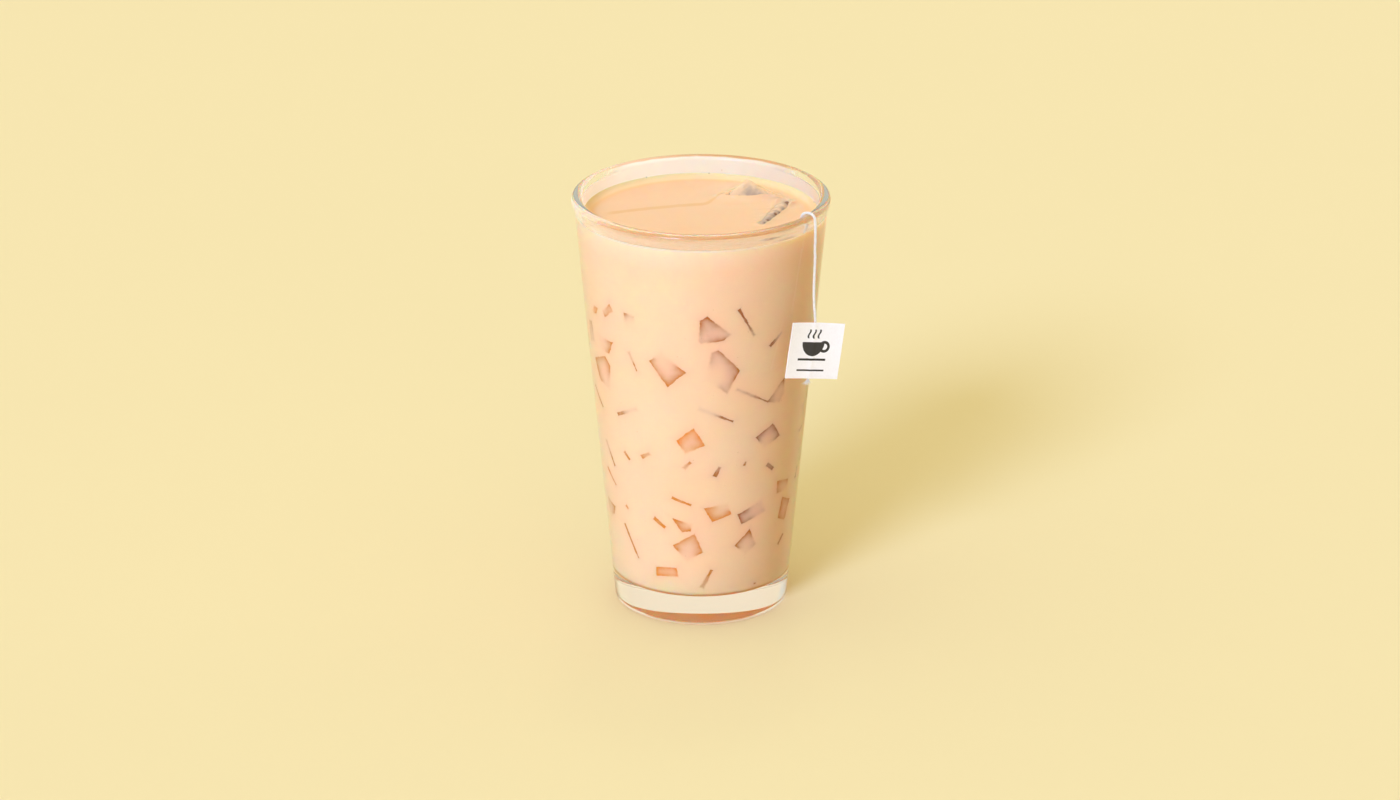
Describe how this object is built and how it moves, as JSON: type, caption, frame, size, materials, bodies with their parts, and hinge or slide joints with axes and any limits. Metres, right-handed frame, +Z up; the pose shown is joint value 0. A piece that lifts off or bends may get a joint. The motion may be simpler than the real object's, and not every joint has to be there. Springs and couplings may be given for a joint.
{
  "type": "iced tea latte",
  "caption": "Iced milk tea in a tapered pint glass, with ice breaking the surface and a tea bag's string and tag hung over the rim.",
  "frame": {"origin": "centre of the face that the glass rests on", "axes": "+Z up along the glass's axis; the picture looks along +Y, so -Y is the front and +X is the right"},
  "size_m": [0.0937, 0.089, 0.1491],
  "materials": {
    "clear_glass": "clear pressed glass, faintly green in thick places",
    "milk_tea": "opaque warm tan drink with a wet, glossy surface",
    "milky_ice": "wet ice under a thin film of milk tea, brown-grey where it is bare",
    "cotton_string": "white twisted cotton, frayed at the end",
    "tag_paper": "matt white paper folded over the string, a little curled"
  },
  "bodies": {
    "root": {"glass": "clear_glass", "drink": "milk_tea", "ice_afloat": "milky_ice", "ice_chip": "milky_ice", "string": "cotton_string", "string_tail": "cotton_string", "tag": "tag_paper"}
  },
  "joints": []
}
